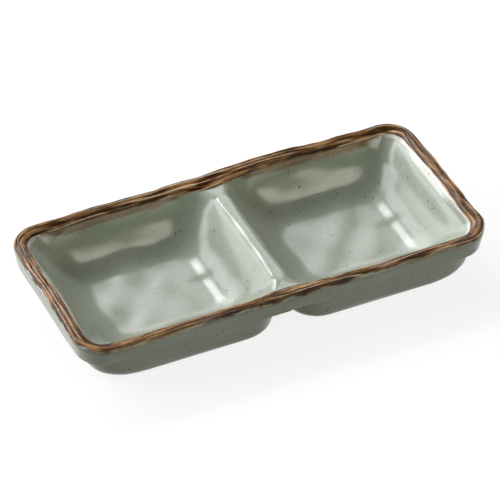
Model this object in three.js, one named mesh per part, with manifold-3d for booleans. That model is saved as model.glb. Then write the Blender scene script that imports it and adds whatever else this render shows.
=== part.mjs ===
// A two-compartment sauce dish in glazed stoneware. Two wells hang under one overhanging
// rim frame, a rounded divider runs between them, and a ridged brown band caps the rim.
// Millimetres, +Z up, X along the length. The origin is on the table, under the centre.
import * as THREE from 'three';
import Module from 'manifold-3d';

const wasm = await Module();
wasm.setup();

// Overall sizes of the dish
const DISH_LENGTH = 165;
const DISH_WIDTH = 77.6;
const DISH_HEIGHT = 22;
const CORNER_RADIUS = 12;

// The long sides draw in slightly beside the divider
const WAIST_DEPTH = 0.7;
const WAIST_SPAN = 12;

// Clearance between neighbours that meet on curved faces
const JOINT_GAP = 0.3;

// Ridged band: its drops are measured down from the crest of the rim, which is one ridge in
// from the outer edge. The top falls to a shoulder outside and to the lip of the wells inside.
const BAND_WIDTH = 5;
const BAND_OUTER_DROP = 2;
const BAND_INNER_DROP = 3.6;
const SHOULDER_DROP = 1.1;
const RIDGE_COUNT = 4;
const RIDGE_HEIGHT = 0.4;

// Lip of the wells, inside the band
const LIP_DROP = 2;
const LIP_RADIUS = 2.5;

// Rim frame: an overhanging skirt that leans in towards its lower edge
const SKIRT_DROP = 9.3;
const SKIRT_DRAFT = 1.5;

// Inside of the wells
const FLOOR_THICKNESS = 4;
const END_WALL_RUN = 19;
const SIDE_WALL_RUN = 16.5;
const COVE_RADIUS = 20;
const FLOOR_CORNER_RADIUS = 5;

// Outside of the wells, below the skirt
const WELL_END_INSET = 5;
const WELL_SIDE_INSET = 1.8;
const WELL_CORNER_RADIUS = 11.3;
const WELL_DRAFT_DEGREES = 5.4;
const BASE_RADIUS = 8;
const NOTCH_WIDTH = 5.6;

// Divider between the wells
const CREST_DROP = 2.6;
const CREST_RADIUS = 5.5;
const CREST_FLARE = 9;
const DIVIDER_RUN = 20.4;
const DIVIDER_WIDTH = 26;

// Foot rings under the wells
const FOOT_HEIGHT = 1;
const FOOT_WIDTH = 3.5;
const FOOT_INSET = 4;

// Fineness of the faceted surfaces
const RIM_SIDE_STEPS = 12;
const WELL_SIDE_STEPS = 3;
const FLOOR_SIDE_STEPS = 4;
const ARC_STEPS = 6;
const FAN_STEPS = 5;
const CREST_STEPS = 3;
const COVE_STEPS = 6;
const BASE_STEPS = 5;
const STEPS_PER_RIDGE = 4;

// Levels and half sizes that follow from the sizes above
const HALF_LENGTH = DISH_LENGTH / 2;
const HALF_WIDTH = DISH_WIDTH / 2;
const SKIRT_LEVEL = DISH_HEIGHT - SKIRT_DROP;
const FLOOR_LEVEL = FOOT_HEIGHT + FLOOR_THICKNESS;
const SEAT_SLOPE = (BAND_INNER_DROP - BAND_OUTER_DROP) / BAND_WIDTH;
const CUT_MARGIN = 2;

// The share of the divider in a place x, 1 at the middle of the dish and 0 far from it.
function nearness(x, span) {
  return Math.exp(-((x / span) ** 2));
}

// A point of the plan moved in by a waist of a given depth.
function waisted([x, y], depth) {
  return [x, y * (1 - (depth / HALF_WIDTH) * nearness(x, WAIST_SPAN))];
}

// Points from a to b, without the last one.
function pointsBetween(a, b, steps) {
  return Array.from({ length: steps }, (_, i) => a.clone().lerp(b, i / steps));
}

// The corners of a rectangle, anticlockwise from the right back one. Each has the angle at
// which its rounding starts and the inward signs of its two sides.
function cornersOf({ left, right, front, back }) {
  return [
    { point: new THREE.Vector2(right, back), start: 0, inward: new THREE.Vector2(-1, -1) },
    { point: new THREE.Vector2(left, back), start: Math.PI / 2, inward: new THREE.Vector2(1, -1) },
    { point: new THREE.Vector2(left, front), start: Math.PI, inward: new THREE.Vector2(1, 1) },
    { point: new THREE.Vector2(right, front), start: (3 * Math.PI) / 2, inward: new THREE.Vector2(-1, 1) },
  ];
}

function direction(angle) {
  return new THREE.Vector2(Math.cos(angle), Math.sin(angle));
}

// A rounded rectangle, anticlockwise. Outlines with equal steps have equal point counts.
function outline(box, radius, sideSteps) {
  const arcs = cornersOf(box).map(({ point, start, inward }) => {
    const centre = point.clone().addScaledVector(inward, radius);
    return Array.from({ length: ARC_STEPS + 1 }, (_, i) => {
      const angle = start + (i * Math.PI) / (2 * ARC_STEPS);
      return direction(angle).multiplyScalar(radius).add(centre);
    });
  });
  const points = arcs.flatMap((arc, i) => {
    const following = arcs[(i + 1) % arcs.length];
    return [...arc.slice(0, -1), ...pointsBetween(arc[ARC_STEPS], following[0], sideSteps)];
  });
  return points.map(({ x, y }) => [x, y]);
}

// The outline of the whole dish, moved in by an inset and by a waist.
function rimOutline(inset, waist) {
  const box = {
    left: inset - HALF_LENGTH,
    right: HALF_LENGTH - inset,
    front: inset - HALF_WIDTH,
    back: HALF_WIDTH - inset,
  };
  const radius = Math.max(CORNER_RADIUS - inset, 1);
  return outline(box, radius, RIM_SIDE_STEPS).map((point) => waisted(point, waist));
}

function raise(points, level) {
  return points.map(([x, y]) => [x, y, level]);
}

// A closed surface through rings of equal point count. A plain loft runs upwards and is
// capped at both ends. A ring-shaped one runs up outside, inwards, down and back again.
function loft(rings, ringShaped = false) {
  const count = rings[0].length;
  const positions = rings.flat();
  const index = [];
  const bands = ringShaped ? rings.length : rings.length - 1;
  for (let i = 0; i < bands; i++) {
    const lower = i * count;
    const upper = ((i + 1) % rings.length) * count;
    for (let j = 0; j < count; j++) {
      const next = (j + 1) % count;
      index.push(lower + j, lower + next, upper + next);
      index.push(lower + j, upper + next, upper + j);
    }
  }
  if (!ringShaped) {
    const caps = [
      { ring: rings[0], first: 0, down: true },
      { ring: rings[rings.length - 1], first: (rings.length - 1) * count, down: false },
    ];
    for (const { ring, first, down } of caps) {
      const centre = positions.length;
      positions.push([0, 1, 2].map((axis) => ring.reduce((sum, p) => sum + p[axis], 0) / count));
      for (let j = 0; j < count; j++) {
        const here = first + j;
        const next = first + ((j + 1) % count);
        index.push(centre, down ? next : here, down ? here : next);
      }
    }
  }
  const vertProperties = new Float32Array(positions.flat());
  const triVerts = new Uint32Array(index);
  return new wasm.Manifold(new wasm.Mesh({ numProp: 3, vertProperties, triVerts }));
}

// A ring round the whole rim, from a profile of insets and levels.
function rimRing(profile) {
  return loft(profile.map(([inset, level]) => raise(rimOutline(inset, WAIST_DEPTH), level)), true);
}

function block(left, right, front, back, bottom, top) {
  const corners = [[right, front], [right, back], [left, back], [left, front]];
  return loft([raise(corners, bottom), raise(corners, top)]);
}

// The curve from the edge of a well down to its floor: a convex roll at the edge, a straight
// wall, and a cove that ends level with the floor.
function wallCurve(edge, foot, roll) {
  const run = Math.hypot(foot[0] - edge[0], foot[1] - edge[1]);
  const drop = edge[2] - foot[2];
  const largest = (0.98 * (run ** 2 + drop ** 2)) / (2 * drop);
  const cove = Math.min(COVE_RADIUS, largest - roll);
  const both = roll + cove;
  const slope = Math.asin(both / Math.hypot(run, both - drop)) - Math.atan2(both - drop, run);
  const curve = [];
  for (let i = 0; i < CREST_STEPS; i++) {
    const angle = (slope * i) / CREST_STEPS;
    curve.push([roll * Math.sin(angle), roll * (1 - Math.cos(angle))]);
  }
  curve.push([roll * Math.sin(slope), roll * (1 - Math.cos(slope))]);
  for (let i = 0; i <= COVE_STEPS; i++) {
    const angle = slope * (1 - i / COVE_STEPS);
    curve.push([run - cove * Math.sin(angle), drop - cove * (1 - Math.cos(angle))]);
  }
  return curve.map(([along, down]) => {
    const share = along / run;
    return [edge[0] + (foot[0] - edge[0]) * share, edge[1] + (foot[1] - edge[1]) * share, edge[2] - down];
  });
}

// How far a ray runs from a point inside a rectangle to its edge, near a corner that is
// rounded by a radius.
function reachOfEdge(from, ray, corner, radius) {
  const acrossX = (corner.point.x - from.x) / ray.x;
  const acrossY = (corner.point.y - from.y) / ray.y;
  const straight = Math.min(acrossX > 0 ? acrossX : Infinity, acrossY > 0 ? acrossY : Infinity);
  const centre = corner.point.clone().addScaledVector(corner.inward, radius);
  const toCentre = centre.clone().sub(from);
  const along = toCentre.dot(ray);
  const aside = toCentre.lengthSq() - along ** 2;
  if (aside >= radius ** 2) {
    return straight;
  }
  const onArc = along + Math.sqrt(radius ** 2 - aside);
  const past = ray.clone().multiplyScalar(onArc).add(from).sub(centre).multiply(corner.inward);
  return past.x <= 0 && past.y <= 0 ? onArc : straight;
}

// Pairs of points round the left well: one on the edge of its floor, and one straight out
// from it on the edge of the opening. They are closest together at the corners of the
// opening, and one pair meets each corner. The opening ends on the divider's middle line.
function leftWellPairs() {
  const edgeBox = {
    left: BAND_WIDTH - HALF_LENGTH,
    right: 0,
    front: BAND_WIDTH - HALF_WIDTH,
    back: HALF_WIDTH - BAND_WIDTH,
  };
  const floorBox = {
    left: edgeBox.left + END_WALL_RUN,
    right: -DIVIDER_RUN,
    front: edgeBox.front + SIDE_WALL_RUN,
    back: edgeBox.back - SIDE_WALL_RUN,
  };
  const edgeCorners = cornersOf(edgeBox);
  const fans = cornersOf(floorBox).map(({ point, start, inward }, i) => {
    const centre = point.clone().addScaledVector(inward, FLOOR_CORNER_RADIUS);
    const edgeRadius = inward.x > 0 ? Math.max(CORNER_RADIUS - BAND_WIDTH, 0) : 0;
    const aim = edgeCorners[i].point.clone().sub(centre).angle();
    return Array.from({ length: 2 * FAN_STEPS + 1 }, (_, step) => {
      const side = step < FAN_STEPS ? start : start + Math.PI / 2;
      const share = Math.sin((Math.abs(step - FAN_STEPS) / FAN_STEPS - 1) * (Math.PI / 2)) + 1;
      const ray = direction(aim + (side - aim) * share);
      const foot = ray.clone().multiplyScalar(FLOOR_CORNER_RADIUS).add(centre);
      const reach = reachOfEdge(centre, ray, edgeCorners[i], edgeRadius);
      return { foot, edge: ray.clone().multiplyScalar(reach).add(centre) };
    });
  });
  return fans.flatMap((fan, i) => {
    const last = fan[2 * FAN_STEPS];
    const following = fans[(i + 1) % fans.length][0];
    const feet = pointsBetween(last.foot, following.foot, FLOOR_SIDE_STEPS);
    const edges = pointsBetween(last.edge, following.edge, FLOOR_SIDE_STEPS);
    return [...fan.slice(0, -1), ...feet.map((foot, k) => ({ foot, edge: edges[k] }))];
  });
}

// The open space of the left well, as rings from its floor upwards. Above the edge of the
// opening it widens along the slope of the band's seat, so that nothing is left standing
// between the two cuts.
function leftHollow() {
  const pairs = leftWellPairs();
  const edges = pairs.map(({ edge }) => waisted([edge.x, edge.y], WAIST_DEPTH));
  const feet = raise(pairs.map(({ foot }) => waisted([foot.x, foot.y], WAIST_DEPTH)), FLOOR_LEVEL);
  const curves = edges.map(([x, y], i) => {
    const share = nearness(x, CREST_FLARE);
    const level = DISH_HEIGHT - THREE.MathUtils.lerp(LIP_DROP, CREST_DROP, share);
    return wallCurve([x, y, level], feet[i], THREE.MathUtils.lerp(LIP_RADIUS, CREST_RADIUS, share));
  });
  const widened = curves.map(([[x, y, level]], i) => {
    const outward = new THREE.Vector2(x - feet[i][0], y - feet[i][1]).setLength(CUT_MARGIN);
    return [x + outward.x, y + outward.y, level + CUT_MARGIN * SEAT_SLOPE];
  });
  const rings = curves[0].map((_, step) => curves.map((curve) => curve[step])).reverse();
  return [...rings, widened, raise(widened, DISH_HEIGHT + CUT_MARGIN)];
}

// The outside of the left well below the skirt, on a given inset.
function leftWellBox(inset) {
  return {
    left: WELL_END_INSET + inset - HALF_LENGTH,
    right: -NOTCH_WIDTH / 2 - inset,
    front: WELL_SIDE_INSET + inset - HALF_WIDTH,
    back: HALF_WIDTH - WELL_SIDE_INSET - inset,
  };
}

// Insets and levels of the well's outer wall, from the flat base up to the skirt.
function wellProfile() {
  const steepest = THREE.MathUtils.degToRad(90 - WELL_DRAFT_DEGREES);
  const wallFoot = FOOT_HEIGHT + BASE_RADIUS * (1 - Math.cos(steepest));
  const wallRun = (SKIRT_LEVEL - wallFoot) / Math.tan(steepest);
  const profile = [];
  for (let i = 0; i <= BASE_STEPS; i++) {
    const angle = (steepest * i) / BASE_STEPS;
    const inset = wallRun + BASE_RADIUS * (Math.sin(steepest) - Math.sin(angle));
    profile.push([inset, FOOT_HEIGHT + BASE_RADIUS * (1 - Math.cos(angle))]);
  }
  profile.push([0, SKIRT_LEVEL]);
  return profile;
}

// The outside of the left well, as rings from its base upwards.
function leftOutside() {
  return wellProfile().map(([inset, level]) => {
    const points = outline(leftWellBox(inset), WELL_CORNER_RADIUS, WELL_SIDE_STEPS);
    return raise(points, level);
  });
}

// A low ring that stands inside the edge of the left well's flat base, as rings round it.
function leftFoot() {
  const baseInset = wellProfile()[0][0];
  const radius = WELL_CORNER_RADIUS - FOOT_INSET;
  const ring = (inset, level) => {
    const corner = Math.max(radius - inset, 1);
    const box = leftWellBox(baseInset + FOOT_INSET + inset);
    return raise(outline(box, corner, WELL_SIDE_STEPS), level);
  };
  return [ring(0, 0), ring(0, FOOT_HEIGHT), ring(FOOT_WIDTH, FOOT_HEIGHT), ring(FOOT_WIDTH, 0)];
}

// The ridged top of the band, from its outer lower edge over the crest to the inner one.
function bandProfile() {
  const steps = RIDGE_COUNT * STEPS_PER_RIDGE;
  const crest = 1 / RIDGE_COUNT;
  const profile = [[0, DISH_HEIGHT - BAND_OUTER_DROP]];
  for (let i = 0; i <= steps; i++) {
    const share = i / steps;
    const groove = (RIDGE_HEIGHT / 2) * (1 - Math.cos(2 * Math.PI * RIDGE_COUNT * share));
    const outside = SHOULDER_DROP * (1 - share / crest) ** 2;
    const inside = LIP_DROP * ((share - crest) / (1 - crest));
    const fall = share < crest ? outside : inside;
    profile.push([BAND_WIDTH * share, DISH_HEIGHT - fall - groove]);
  }
  profile.push([BAND_WIDTH, DISH_HEIGHT - BAND_INNER_DROP]);
  return profile;
}

// The room that the band takes, with its clearance, for cutting what lies under it.
function bandRoom() {
  const seat = (inset) => DISH_HEIGHT - BAND_OUTER_DROP - JOINT_GAP - SEAT_SLOPE * inset;
  const inner = BAND_WIDTH + JOINT_GAP;
  const top = DISH_HEIGHT + CUT_MARGIN;
  return rimRing([[-CUT_MARGIN, seat(-CUT_MARGIN)], [-CUT_MARGIN, top], [inner, top], [inner, seat(inner)]]);
}

// Rings moved to the other side of the divider, turned so that they still run anticlockwise.
function mirrored(rings) {
  return rings.map((ring) => ring.map(([x, y, z]) => [-x, y, z]).reverse());
}

const leftSpace = loft(leftHollow());
const rightSpace = loft(mirrored(leftHollow()));
const skirtEdge = raise(rimOutline(SKIRT_DRAFT, 0), SKIRT_LEVEL);
const rimBlock = loft([skirtEdge, raise(rimOutline(0, WAIST_DEPTH), DISH_HEIGHT)]);
const rimBody = rimBlock.subtract(bandRoom()).subtract(leftSpace).subtract(rightSpace);
const dividerEnd = HALF_WIDTH - WAIST_DEPTH - BAND_WIDTH - JOINT_GAP;
const dividerSide = DIVIDER_WIDTH / 2;
const dividerRoom = block(-dividerSide, dividerSide, -dividerEnd, dividerEnd, 0, DISH_HEIGHT + CUT_MARGIN);
const leftWell = loft(leftOutside()).subtract(leftSpace);
const rightWell = loft(mirrored(leftOutside())).subtract(rightSpace);

const stonewareGlaze = { color: 0xa3a898, roughness: 0.18, metalness: 0 };
const brushedBrown = { color: 0x6d4a2c, roughness: 0.35, metalness: 0 };
const bareClay = { color: 0xc9bba4, roughness: 0.85, metalness: 0 };

function piece(name, solid, look) {
  const { vertProperties, triVerts } = solid.getMesh();
  const geometry = new THREE.BufferGeometry();
  geometry.setAttribute('position', new THREE.BufferAttribute(new Float32Array(vertProperties), 3));
  geometry.setIndex(new THREE.BufferAttribute(new Uint32Array(triVerts), 1));
  geometry.computeVertexNormals();
  const mesh = new THREE.Mesh(geometry, new THREE.MeshStandardMaterial(look));
  mesh.name = name;
  return mesh;
}

const dish = new THREE.Group();
dish.add(piece('left_well', leftWell, stonewareGlaze));
dish.add(piece('right_well', rightWell, stonewareGlaze));
dish.add(piece('rim_frame', rimBody.subtract(dividerRoom), stonewareGlaze));
dish.add(piece('divider', rimBody.intersect(dividerRoom), stonewareGlaze));
dish.add(piece('rim_band', rimRing(bandProfile()), brushedBrown));
dish.add(piece('left_foot_ring', loft(leftFoot(), true), bareClay));
dish.add(piece('right_foot_ring', loft(mirrored(leftFoot()), true), bareClay));

export default dish;
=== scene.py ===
"""Looks of a two-compartment sauce dish: speckled sage stoneware with a ridged brown rim.

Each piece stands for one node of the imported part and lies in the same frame. Sizes are in
millimetres while a surface is worked out, and in metres in its mesh.
"""
import math

import bmesh
import bpy
import numpy as np
from mathutils import Matrix, Vector


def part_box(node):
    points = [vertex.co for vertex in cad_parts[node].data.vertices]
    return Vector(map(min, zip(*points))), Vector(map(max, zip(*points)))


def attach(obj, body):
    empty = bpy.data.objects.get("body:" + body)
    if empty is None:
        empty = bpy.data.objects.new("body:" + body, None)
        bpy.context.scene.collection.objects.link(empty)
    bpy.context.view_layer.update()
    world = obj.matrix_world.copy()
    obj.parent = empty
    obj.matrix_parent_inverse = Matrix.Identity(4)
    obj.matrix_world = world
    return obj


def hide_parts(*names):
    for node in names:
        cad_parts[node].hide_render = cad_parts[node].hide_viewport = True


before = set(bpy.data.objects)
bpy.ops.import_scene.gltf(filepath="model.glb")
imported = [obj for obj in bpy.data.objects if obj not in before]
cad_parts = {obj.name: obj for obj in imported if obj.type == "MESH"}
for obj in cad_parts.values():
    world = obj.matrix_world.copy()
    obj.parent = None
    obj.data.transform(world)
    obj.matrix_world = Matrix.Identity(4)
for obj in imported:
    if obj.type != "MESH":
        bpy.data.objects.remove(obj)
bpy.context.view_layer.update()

MM = 0.001
QUARTER_TURN = math.pi / 2
TINY = 1e-9


def node_box(name):
    """Lowest and highest corner of a node, in millimetres."""
    low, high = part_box(name)
    return np.array(low) / MM, np.array(high) / MM


# Sizes read from the frame
_, band_high = node_box("rim_band")
frame_low, _ = node_box("rim_frame")
well_low, well_high = node_box("left_well")
foot_low, foot_high = node_box("left_foot_ring")
HALF_LENGTH, HALF_WIDTH, RIM_LEVEL = band_high
SKIRT_LEVEL = frame_low[2]
BASE_LEVEL = well_low[2]

# Plan of the dish
CORNER_RADIUS = 12

# Band on the rim: width, place of its crest, and depths below the crest
BAND_WIDTH = 5.2
BAND_CREST = 1.3
BAND_OUTER_DROP = 2.6
BAND_SEAT_DROP = 3.6
LIP_DROP = 2.0
LIP_LEVEL = RIM_LEVEL - LIP_DROP
END_LIP_DROP = 1.0
LIP_SLOPE = math.radians(57)
END_LIP_SLOPE = math.radians(31)
END_LIP_FLAT = 1.1

# Band's section: insets and levels that its curves are pulled towards
BAND_SHOULDER = (0.1, -0.7)
BAND_CREST_PULLS = (0.5, 2.3)
BAND_LIP_PULL = 0.9

# Strands of the band, with their place as shares of the way round its section
BAND_STRANDS = 3.3
STRAND_HEIGHT = 0.42
STRAND_LENGTH = 30
STRAND_PLACE = (0.08, 0.52)
STRAND_FADES = (0.08, 0.06)

# Brown slip that runs down below the band, painted pale as a highlight at the ends: how far it reaches down
# along the sides and at the ends, and where it stops at the divider
WASH_WIDTH = 5
END_HIGHLIGHT_WIDTH = 1.2
WASH_GAP = 13

# Skirt of the rim
SKIRT_DRAFT = 1.5
SKIRT_LEAN = SKIRT_DRAFT / (RIM_LEVEL - SKIRT_LEVEL)
SKIRT_EDGE_RADIUS = 0.5

# Inside of the wells
FLOOR_THICKNESS = 4
FLOOR_LEVEL = BASE_LEVEL + FLOOR_THICKNESS
WELL_MIDDLE = 38.4
END_WALL_RUN = 21
SIDE_WALL_RUN = 19
SIDE_WALL_SLOPES = (math.radians(66), math.radians(46))
SIDE_WALL_RADIUS = 40
SIDE_COVE_RADIUS = 16
COVE_RADIUS = 14
CORNER_COVE_RADIUS = 20
COVE_LIMIT = 0.98
FLOOR_CORNER_RADIUS = 5
SIDE_LIP_RADIUS = 2.4
END_LIP_RADIUS = 4

# How fast the end's cove and the end's lip slope, in front and at the back, give way at a corner
CORNER_COVE_POWER = 8
CORNER_SLOPE_POWERS = (2, 3)

# Divider
CREST_DROP = 2.6
CREST_END_DROP = 2.3
CREST_RISE = 22
CREST_RADIUS = 4.0
CREST_FLAT = 0.9
CREST_FLARE = 9
DIVIDER_RUN = 20.4
FLARE_RADIUS = 6

# Outside of the wells
WELL_CORNER_RADIUS = 11.3
WELL_DRAFT = math.atan(SKIRT_LEAN)
BASE_RADIUS = 6
END_BASE_RADIUS = 9
LEDGE_FADE = (24, 6)

# Foot rings
FOOT_WIDTH = 3.5
FOOT_CORNER_RADIUS = 7.3
FOOT_EDGE_RADIUS = 0.35

# Waves left by the hand: height, lengths along both ways over one radian, and start
RIM_WAVE = (0.2, 13, math.inf, 1.1)
RIM_RIPPLE = (0.13, 5.3, 17, 0.4)
SIDE_WAVE = (0.24, 7, math.inf, 2.2)
SIDE_RIPPLE = (0.1, 2.7, math.inf, 1)
END_WAVE = (0.2, math.inf, 6)
CREST_WAVE = (0.05, math.inf, 2.6, 0.7)
ROLL_ALONG = (0.24, 4.6, math.inf, 0.8)
ROLL_ACROSS = (1, math.inf, 5.2, QUARTER_TURN - 0.5)
FLOOR_RIPPLE = (0.1, 2.9, -3.4, 2)
DENT_ALONG = (0.36, 8.5, math.inf, 0.9)
DENT_DOWN = (1, 21, 2.6, QUARTER_TURN)

# Long sides: the waist, the band's widening at the divider, and where the back stands out or in
WAIST_DEPTH = 0.7
WAIST_SPAN = 12
MIDDLE_WIDENING = 1.9
MIDDLE_SPAN = 11
WIDENING_START = (0.6, BAND_WIDTH)
WIDENING_END = (BAND_WIDTH + 2, BAND_WIDTH + 14)
BACK_BULGE = 1.2
BULGE_START = (-5, 9)
BULGE_END = (30, 62)
BACK_TUCK = 0.8
TUCK_START = (-40, -72)

# Front rim: its sag, and two dips with depth, place and span. The divider holds most of it up
FRONT_SAG = 0.25
FRONT_DIPS = ((1.1, -68, 20), (1.2, 6, 24))
CREST_HOLD = 0.8
HOLD_INSET = 20

# Right end: the wider flat of its lip, which fades to the left and towards the corners
END_LIP_WIDENING = 1.5
WIDER_LIP_PLACE = (0, 30)
WIDER_LIP_INSETS = (6, 14)

# Divider's crest: its bead, its lean to the right and the widening towards its ends
CREST_WAVE_SPAN = 7
CREST_BEAD = 0.1
CREST_BEAD_SPAN = 1.3
CREST_BEAD_INSETS = (4, 18)
CREST_LEAN = 0.8
CREST_WIDENING = 1.1
CREST_WIDENING_PLACE = (8, 26)
CREST_TURN = 1.2
CREST_SPAN = 6
CREST_LEAN_INSET = 16

# Floor and walls: where they change, in heights above the floor and distances from a well's middle
UNDER_FLOOR = 2
COVE_TOP = (7, 3)
DENT_TOP = (11, 6)
DENT_END = (28, 20)
CALM_SHARE = 0.85
CALM_START = (9, 16)
COVE_START = (12, 18)
COVE_ENDS = (30, 22)
COVE_STEP = 0.14
COVE_STEP_PLACE = 2
COVE_STEP_SPAN = 1.5
HOLLOW_DEPTH = 0.23
HOLLOW_HEIGHTS = (-0.2, 0.3)
HOLLOW_START = (17, 27)

# Fineness of the meshes
WELD_DISTANCE = 0.002
EDGE_ON = 0.05
SHARP_ANGLE = math.radians(50)
SIDE_STEPS = 22
FAN_STEPS = (8, 12, 8)
LIP_STEPS = 18
COVE_STEPS = 26
FLOOR_STEPS = 12
STRIP_STEPS = 8
BASE_STEPS = 14
EDGE_STEPS = 6
SKIRT_STEPS = 8
CURVE_STEPS = 60
ARC_POINTS = 17
BAND_CURVE_STEPS = (16, 48)
BAND_STEPS = {"Stations": 700, "Section steps": 110}
FOOT_STEPS = {"Stations": 160, "Section steps": 40}

# Colours
SAGE_PALE = (0.38, 0.408, 0.346, 1)
SAGE_DEEP = (0.33, 0.358, 0.3, 1)
SPECK = (0.06, 0.06, 0.05, 1)
# Pale thinly glazed clay, also painted as a highlight along the lips and at the band's ragged outer edge
THIN_GLAZE_AND_HIGHLIGHT = (0.72, 0.68, 0.65, 1)
CLAY_PALE = (0.56, 0.47, 0.36, 1)
CLAY_DEEP = (0.44, 0.36, 0.27, 1)
SLIP_COLOURS = {
    "Dark": (0.055, 0.02, 0.005, 1),
    "Middle": (0.19, 0.086, 0.03, 1),
    "Golden": (0.45, 0.25, 0.11, 1),
    "Pale": (0.8, 0.65, 0.51, 1),
}
TABLE_SEEN = (0.22, 0.22, 0.22, 1)
TABLE_DIM = (0.13, 0.128, 0.1, 1)
WHITE = (1, 1, 1, 1)

# Noises of the finishes: scale and detail
CLOUDS = (42.0, 3.0)
MOTTLE = (420.0, 2.0)
SPECK_RIPPLE = (900.0, 2.0)
SLIP_PATCHES = (75.0, 3.0)
SLIP_GRAIN = (700.0, 2.0)
WASH_STREAKS = (1.0, 3.0)
RAG = (170.0, 4.0)
WEAR = (110.0, 3.0)
CLAY_GRAIN = (2500.0, 3.0)

# What a noise does to a value: its share, and what is added where there are two numbers
MOTTLE_SHARE = 0.25
SPECK_BEND = 0.0007
PATCH_TONE = (0.7, -0.5)
GRAIN_TONE = 0.3
WASH_RAG = (0.9, -0.45)
RAG_DEPTH = 0.22

# Fades of the finishes: limits of what drives them, then what they run between if not 0 and 1
SAGE_TONES = (0.35, 0.65)
SLIP_TONES = {"Middle": (0.1, 0.38), "Golden": (0.35, 0.65), "Pale": (0.72, 1.05)}
WASH_FADE = (0.36, 0.6, 0.0, 0.8)
BROWN_START = (0.165, 0.185)
WORN_START = (0.145, 0.17)
WORN_END = (0.2, 0.26, 1.0, 0.0)
WORN_PATCHES = (0.42, 0.6, 0.1, 0.9)
# Painted highlight along the band's lip: where it fades in across the band, and its share in front and at
# the back
LIP_HIGHLIGHT = (0.765, 0.795)
LIP_HIGHLIGHT_SHARES = (0.75, 0.0)

# Wash: tone of its slip, and how its streaks are stretched
WASH_TONE = 0.4
WASH_STRETCH = (70, 70, 900)

# Noises of the strands: fineness along the path and across it, and offset
WANDER = (0.8, 0.3, 3.7)
RIDGE_LIFE = (1.0, 0.9, 0.0)
STRAND_PATCHES = (2.6, 1.3, 9.1)
STRAND_GRAIN = (4.0, 4.5, 5.3)

# What they do to the strands, as shares of a strand's width and height
WANDER_REACH = 2.4
RIDGE_FADE = (0.37, 0.48)
GROOVE_FADE = (0.0, 0.16, 1.0, 0.0)
GROOVE_DEPTH = -0.2
RIDGE_LIFE_FADE = (0.4, 0.58, 0.05, 0.95)
STRAND_PATCH_FADE = (0.35, 0.66, 0.02, 0.5)
STRAND_GRAIN_RISE = (0.9, -0.4)

# Specks: cells to a metre, share of cells with one inside and outside, then spread and least value
# of size and strength, and where the edge fades as shares of the size
SPECK_CELLS = 420
SPECK_SHARES = (0.42, 0.75)
SPECK_SIZE = (0.12, 0.085)
SPECK_STRENGTH = (0.55, 0.4)
SPECK_EDGE = (0.6, 1.2)

# Insets between which a finish changes: to the outer faces, to the ends, where the slip below the band turns
# into a painted highlight, and to the back's lip, where the painted highlight on the band's lip stops
OUTER_FACE = (4.3, 2.3)
DISH_END = (13, 9)
BACK_LIP = (7.5, 6)

# Studio: distance of the lamps and half the table in metres, brightness of the room, and tints
LAMP_DISTANCE = 1.5
ROOM_GREY = 0.025
BACKDROP_FADE = (0.1, 0.35)
TABLE_HALF = 4
TABLE_GLOW = 0.84
COOL = (0.96, 0.99, 1.0)
WARM = (0.95, 1.0, 0.7)
SOFT_WARM = (0.98, 1.0, 0.86)

# Picture: where the camera stands, seen from the middle of the rim
VIEW_AZIMUTH = math.radians(-24.944)
VIEW_ELEVATION = math.radians(39.541)
VIEW_DISTANCE = 1476.26
VIEW_LENS = 288.3
VIEW_DROP = 6.67
VIEW_RIGHT = 0.36


def nearness(distance, span):
    """1 at no distance, and 0 where the distance is much more than the span."""
    return np.exp(-((distance / span) ** 2))


def lerp(a, b, share):
    return a + (b - a) * share


def smooth_step(low, high, value):
    """0 at the first limit and 1 at the second, whichever of them is larger."""
    share = np.clip((value - low) / (high - low), 0, 1)
    return share * share * (3 - 2 * share)


def wave(along, across, height, length_along, length_across, start):
    return height * np.sin(along / length_along + across / length_across + start)


def past_middle(x):
    """How far a place lies to the right of the middle of its well."""
    return x - WELL_MIDDLE * np.sign(x)


def end_shift(x, y, inset):
    """How far the ends move along: a slight wave, and a wider flat lip at the right end."""
    waving = wave(x, y, *END_WAVE, np.sign(x)) * np.clip(x / HALF_LENGTH, -1, 1)
    lip = np.clip((HALF_LENGTH - BAND_WIDTH - x) / END_LIP_FLAT, 0, 1) * smooth_step(*WIDER_LIP_PLACE, x)
    return waving - END_LIP_WIDENING * lip * smooth_step(*WIDER_LIP_INSETS, inset)


def crest_shift(x, y, inset):
    """How far the divider's crest leans to the right and widens towards its ends."""
    widening = CREST_WIDENING * smooth_step(*CREST_WIDENING_PLACE, np.abs(y)) * np.tanh(x / CREST_TURN)
    return (CREST_LEAN + widening) * nearness(x, CREST_SPAN) * smooth_step(0, CREST_LEAN_INSET, inset)


def rim_shift(x, y, inset):
    """How far the rim moves across: a waist, a slight wave and a wider band at the divider."""
    side = np.clip(y / HALF_WIDTH, -1, 1)
    waist = WAIST_DEPTH * nearness(x, WAIST_SPAN)
    waving = wave(x, y, *SIDE_WAVE) + wave(x, y, *SIDE_RIPPLE)
    widened = smooth_step(*WIDENING_START, inset) * (1 - smooth_step(*WIDENING_END, inset))
    pull = MIDDLE_WIDENING * nearness(x, MIDDLE_SPAN) * widened
    return side * (waving - waist) - pull * np.sign(y)


def back_shift(x, y, z):
    """How far the back stands out behind the right well, and in behind the left one."""
    bulge = BACK_BULGE * smooth_step(*BULGE_START, x) * (1 - smooth_step(*BULGE_END, x))
    tuck = BACK_TUCK * smooth_step(*TUCK_START, x)
    back = np.clip(y / HALF_WIDTH, 0, 1) ** 2
    return smooth_step(BASE_LEVEL, LIP_LEVEL, z) * back * (bulge - tuck)


def wall_shift(x, y, height):
    """Shallow dents in the long inner walls, which fade before the corners at the right."""
    dents = wave(x, y, *DENT_ALONG) * wave(x, height, *DENT_DOWN)
    kept = smooth_step(*DENT_TOP, height) * smooth_step(*DENT_END, past_middle(x))
    return np.clip(y / HALF_WIDTH, -1, 1) * dents * kept


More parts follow.
